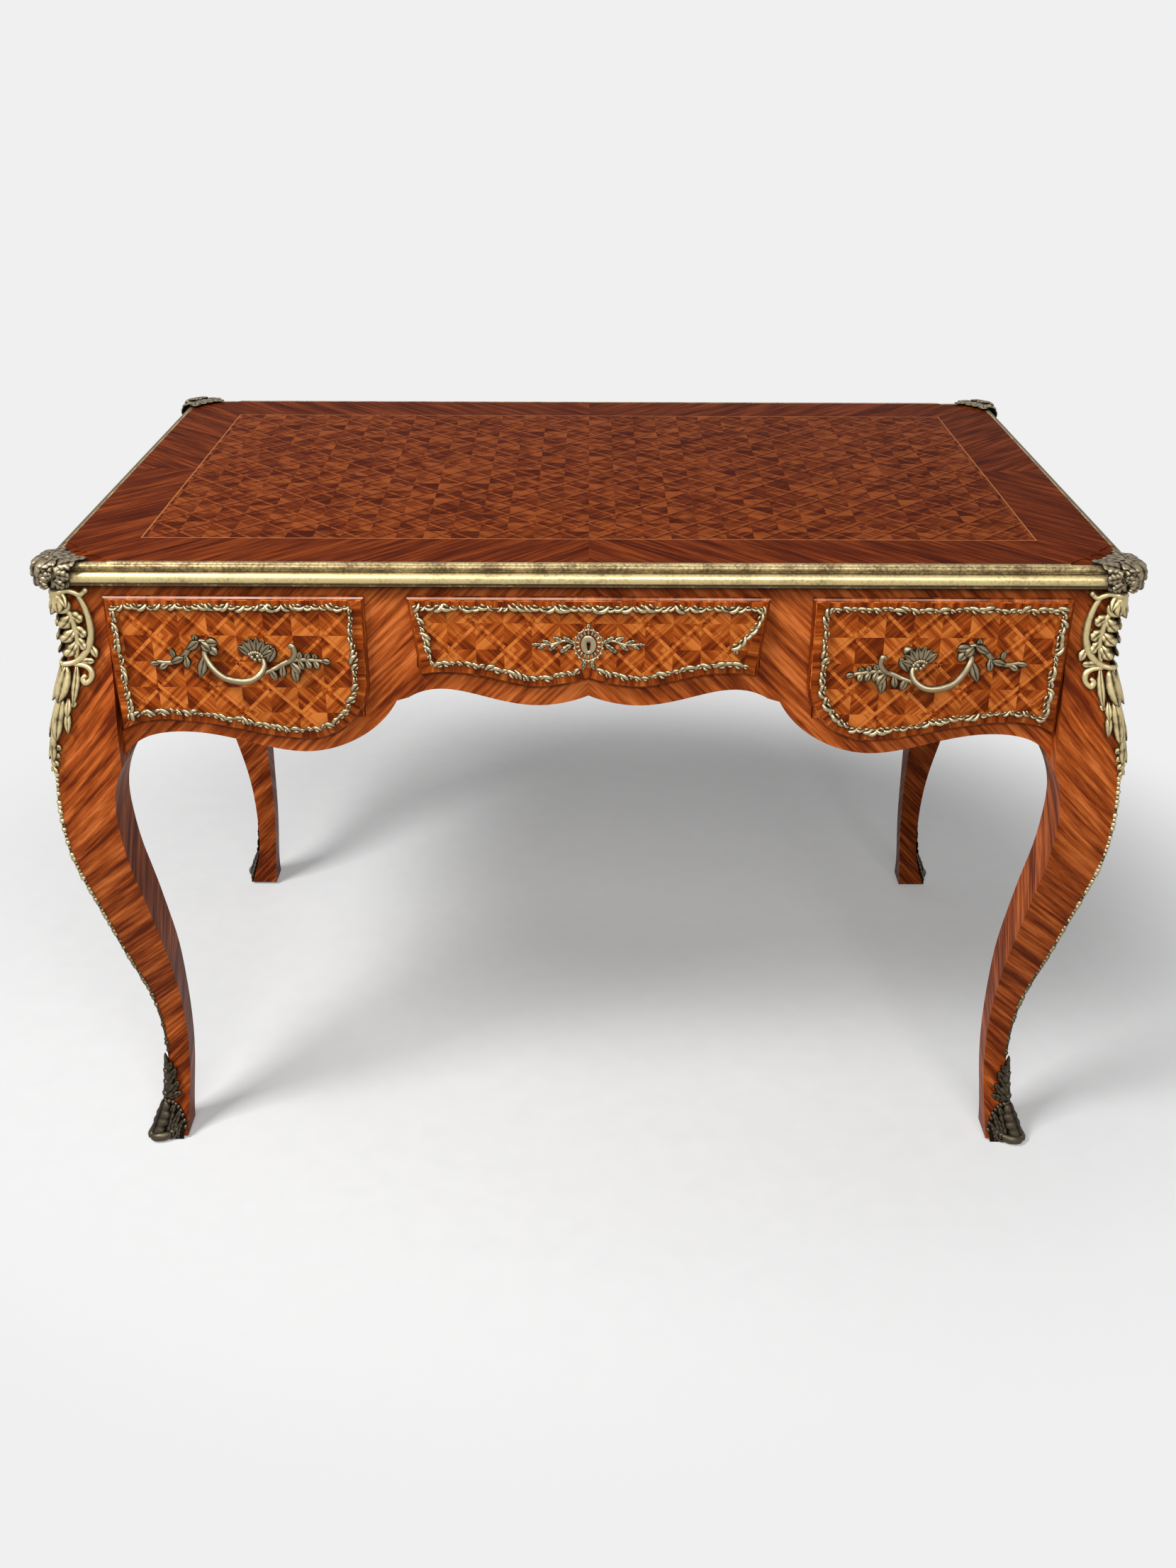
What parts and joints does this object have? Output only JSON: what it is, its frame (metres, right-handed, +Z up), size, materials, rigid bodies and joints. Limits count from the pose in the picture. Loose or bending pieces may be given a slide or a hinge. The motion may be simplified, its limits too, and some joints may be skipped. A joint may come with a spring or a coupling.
{
  "type": "writing table",
  "caption": "Writing table on cabriole legs, with a parquetry top in a moulded metal rim, a scalloped apron, sliding drawers and cast metal mounts.",
  "frame": {"origin": "on the floor, under the middle of the table", "axes": "+X to the right of the drawers seen from the front, -Y out of the drawer fronts, +Z up"},
  "size_m": [1.174, 0.7326, 0.78],
  "materials": {
    "leg_veneer": "diagonal striped veneer, satin polish",
    "top_parquetry": "lattice parquetry with a crossbanded border, satin polish",
    "drawer_parquetry": "lattice and star parquetry, satin polish",
    "drawer_oak": "plain planed oak",
    "carcass_oak": "plain sawn oak",
    "rim_brass": "polished",
    "aged_brass": "cast, aged",
    "gilt_brass": "cast, gilt",
    "lock_steel": "plain"
  },
  "bodies": {
    "frame": {"leg_front_left": "leg_veneer", "leg_front_right": "leg_veneer", "leg_back_left": "leg_veneer", "leg_back_right": "leg_veneer", "top_panel": "top_parquetry", "front_top_rail": "leg_veneer", "front_divider_left": "leg_veneer", "front_divider_right": "leg_veneer", "front_rail_left": "leg_veneer", "front_rail_center": "leg_veneer", "front_rail_right": "leg_veneer", "side_apron_left": "leg_veneer", "side_apron_right": "leg_veneer", "back_apron": "leg_veneer", "back_sham_fronts": "drawer_parquetry", "back_bands": "aged_brass", "partition_left": "carcass_oak", "partition_right": "carcass_oak", "outer_runners": "carcass_oak", "rim_front": "rim_brass", "rim_back": "rim_brass", "rim_left": "rim_brass", "rim_right": "rim_brass", "clasp_front_left": "aged_brass", "clasp_front_right": "aged_brass", "clasp_back_left": "aged_brass", "clasp_back_right": "aged_brass", "knee_mount_front_left": "gilt_brass", "knee_mount_front_right": "gilt_brass", "knee_mount_back_left": "gilt_brass", "knee_mount_back_right": "gilt_brass", "leg_edge_strips": "gilt_brass", "sabot_front_left": "aged_brass", "sabot_front_right": "aged_brass", "sabot_back_left": "aged_brass", "sabot_back_right": "aged_brass"},
    "left_drawer": {"left_drawer_front": "drawer_parquetry", "left_drawer_sides": "drawer_oak", "left_drawer_back": "drawer_oak", "left_drawer_bottom": "drawer_oak", "left_drawer_band": "aged_brass", "left_drawer_handle": "aged_brass", "left_drawer_handle_nuts": "lock_steel"},
    "center_drawer": {"center_drawer_front": "drawer_parquetry", "center_drawer_sides": "drawer_oak", "center_drawer_back": "drawer_oak", "center_drawer_bottom": "drawer_oak", "center_drawer_band": "aged_brass", "escutcheon": "aged_brass", "lock_case": "lock_steel"},
    "right_drawer": {"right_drawer_front": "drawer_parquetry", "right_drawer_sides": "drawer_oak", "right_drawer_back": "drawer_oak", "right_drawer_bottom": "drawer_oak", "right_drawer_band": "aged_brass", "right_drawer_handle": "aged_brass", "right_drawer_handle_nuts": "lock_steel"},
    "lock_bolt": {"lock_bolt": "lock_steel"}
  },
  "joints": [
    {"name": "left_drawer_slide", "type": "slide", "parent": "frame", "child": "left_drawer", "axis": [0, -1, 0], "range_m": [0, 0.36]},
    {"name": "center_drawer_slide", "type": "slide", "parent": "frame", "child": "center_drawer", "axis": [0, -1, 0], "range_m": [0, 0.36]},
    {"name": "right_drawer_slide", "type": "slide", "parent": "frame", "child": "right_drawer", "axis": [0, -1, 0], "range_m": [0, 0.36]},
    {"name": "lock_bolt_slide", "type": "slide", "parent": "center_drawer", "child": "lock_bolt", "axis": [0, 0, 1], "range_m": [0, 0.008]}
  ]
}
